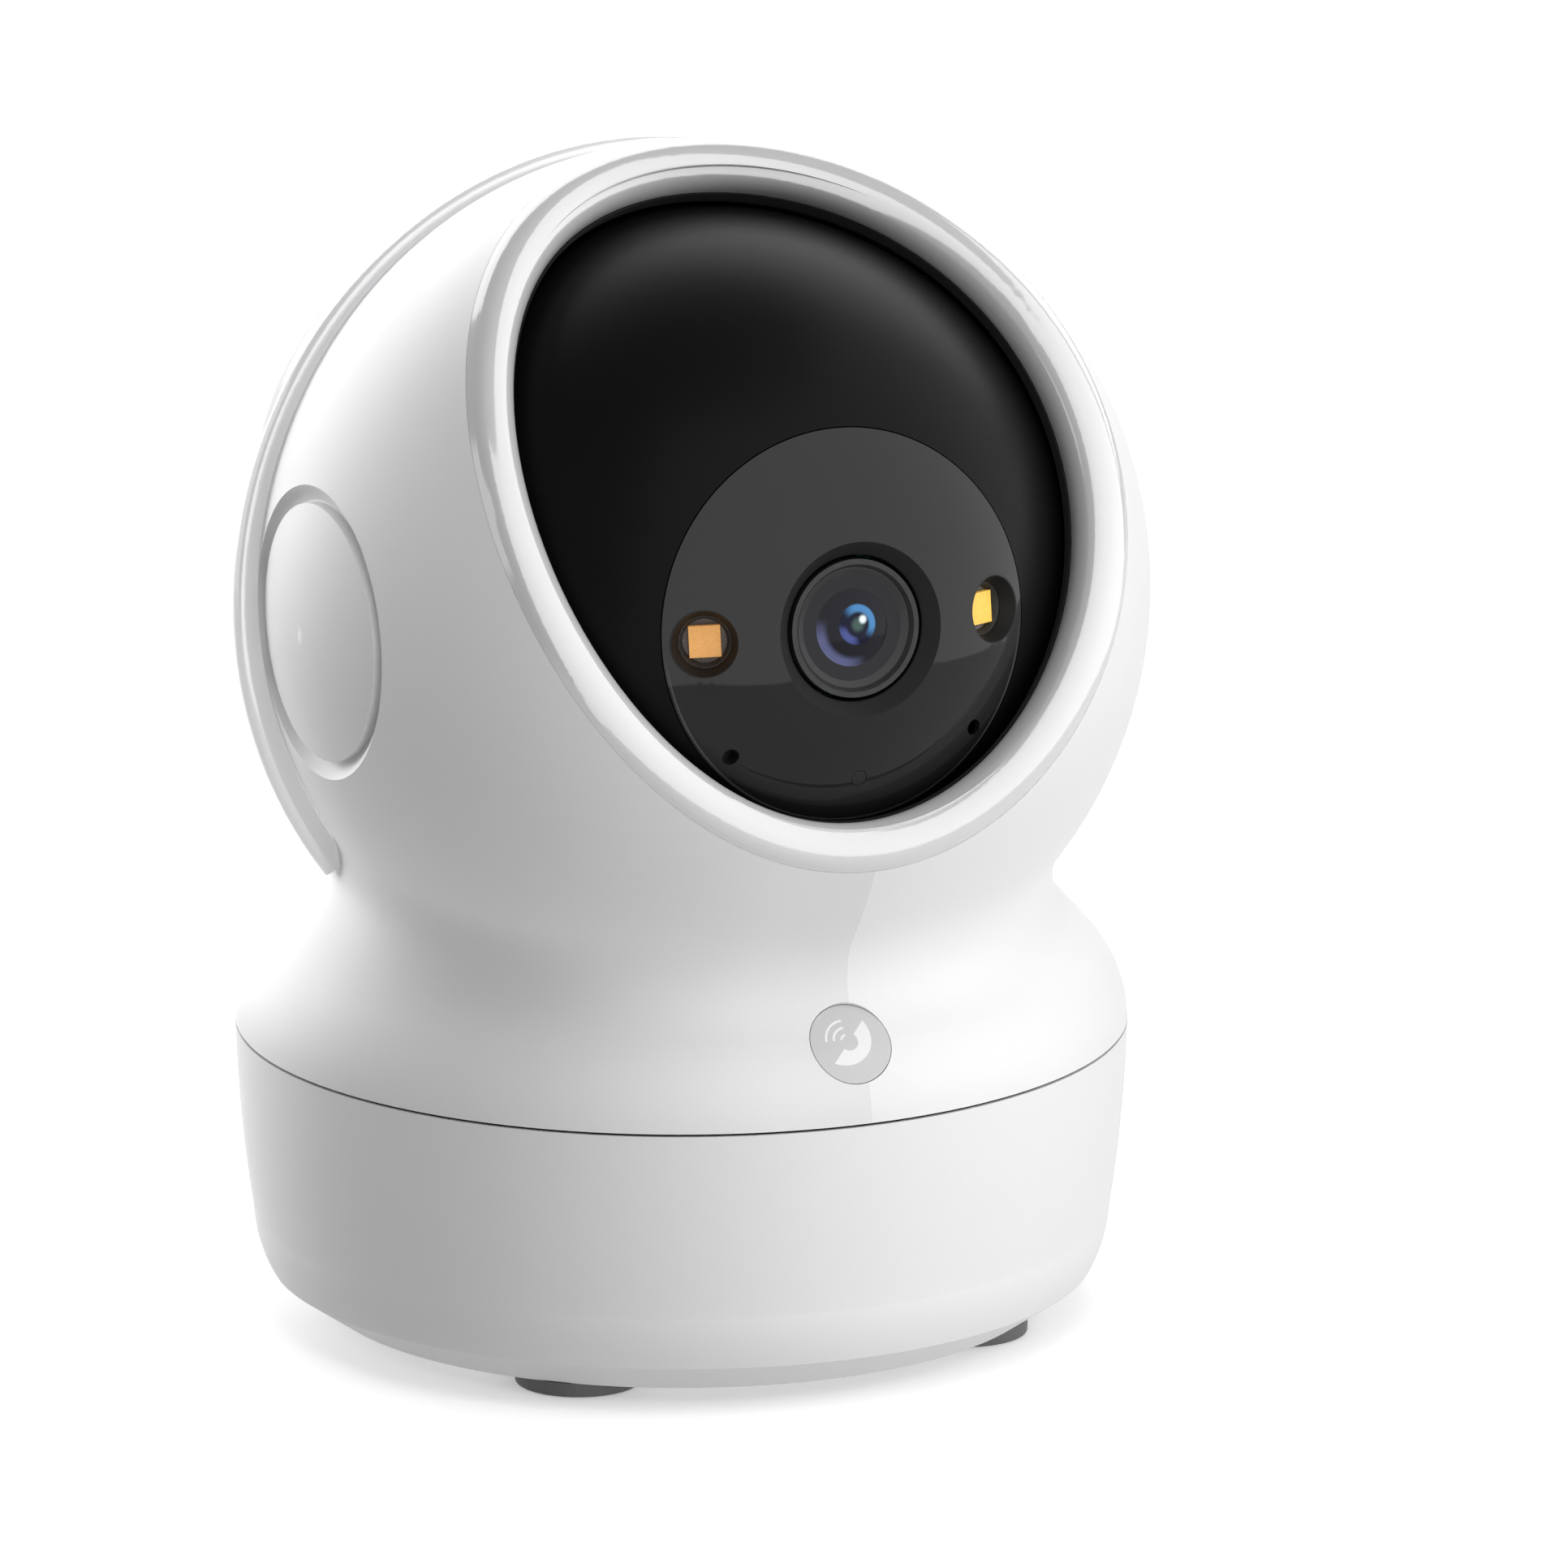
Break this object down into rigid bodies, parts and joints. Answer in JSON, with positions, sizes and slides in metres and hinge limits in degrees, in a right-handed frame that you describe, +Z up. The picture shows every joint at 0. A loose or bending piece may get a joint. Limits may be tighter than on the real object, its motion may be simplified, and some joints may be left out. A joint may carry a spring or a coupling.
{
  "type": "security camera",
  "caption": "Round indoor pan and tilt camera: a ball with a lens looks out of an oval opening in a domed head that turns on a drum base.",
  "frame": {"origin": "centre of the base on the plane that the feet stand on", "axes": "+Z up along the pan axis, the lens looks along -Y, +X is the camera's left as it looks out, along the tilt axis"},
  "size_m": [0.0846, 0.0879, 0.1133],
  "materials": {
    "white_shell": "fine matte moulding texture",
    "white_gloss": "polished",
    "icon_grey": "printed grey",
    "black_satin": "satin",
    "black_gloss": "polished",
    "black_soft": "soft",
    "foot_rubber": "soft",
    "smoke_light": "smoked light guide",
    "lens_glass": "coated",
    "lens_metal": "black anodised",
    "lamp_phosphor": "phosphor under clear resin",
    "lamp_cup": "grey moulded",
    "circuit_board": "solder mask",
    "steel": "zinc plated",
    "brass": "machined",
    "natural_nylon": "natural nylon",
    "acetal": "acetal",
    "chip_black": "moulded"
  },
  "bodies": {
    "base": {"base_shell": "white_shell", "bottom_cover": "white_shell", "rubber_feet": "foot_rubber", "bottom_screws": "steel", "mount_insert": "brass", "main_board": "circuit_board", "board_screws": "steel", "power_socket": "steel", "speaker": "chip_black", "pan_motor": "steel", "pan_motor_screws": "steel", "pan_bush": "natural_nylon"},
    "pan_drive": {"pan_pinion": "natural_nylon"},
    "head": {"turntable": "black_satin", "pan_gear": "acetal", "pan_shell_left": "white_shell", "pan_shell_right": "white_shell", "front_ring": "white_gloss", "gap_seal": "black_soft", "rear_cover": "white_gloss", "side_cap_left": "white_shell", "side_cap_right": "white_shell", "tilt_bush_left": "natural_nylon", "tilt_bush_right": "natural_nylon", "tilt_motor": "steel", "call_switch": "chip_black", "wifi_antenna": "circuit_board"},
    "call_button": {"call_button": "icon_grey"},
    "ball": {"ball_front": "black_satin", "ball_rear": "black_satin", "ball_screws": "steel", "lens_panel": "black_gloss", "status_light": "smoke_light", "microphones": "steel", "lamp_left": "lamp_phosphor", "lamp_right": "lamp_phosphor", "lamp_cups": "lamp_cup", "lamp_boards": "circuit_board", "lens_barrel": "lens_metal", "lens_ring": "lens_metal", "front_glass": "lens_glass", "rear_glass": "lens_glass", "lens_holder": "chip_black", "image_sensor": "chip_black", "sensor_board": "circuit_board", "front_board": "circuit_board", "card_reader": "steel", "memory_card": "chip_black", "reset_switch": "chip_black", "tilt_axle_left": "steel", "tilt_axle_right": "steel"},
    "reset_button": {"reset_button": "black_soft"}
  },
  "joints": [
    {"name": "pan", "type": "hinge", "parent": "base", "child": "head", "pos_m": [0, 0, 0], "axis": [0, 0, 1], "range_deg": [-170, 170]},
    {"name": "pan_pinion_spin", "type": "hinge", "parent": "base", "child": "pan_drive", "pos_m": [-0.025, 0, 0], "axis": [0, 0, 1], "range_deg": [-690, 690]},
    {"name": "call_press", "type": "slide", "parent": "head", "child": "call_button", "axis": [0, 0.8339, -0.5519], "range_m": [0, 0.0004], "stiffness_N_per_m": 2000},
    {"name": "tilt", "type": "hinge", "parent": "head", "child": "ball", "pos_m": [0, -0.005, 0.0717], "axis": [-1, 0, 0], "range_deg": [-17, 48]},
    {"name": "reset_press", "type": "slide", "parent": "ball", "child": "reset_button", "axis": [0, 0.7755, 0.6313], "range_m": [0, 0.0005], "stiffness_N_per_m": 1500}
  ],
  "couplings": [
    {"joint": "pan_pinion_spin", "follows": "pan", "ratio": -4}
  ]
}
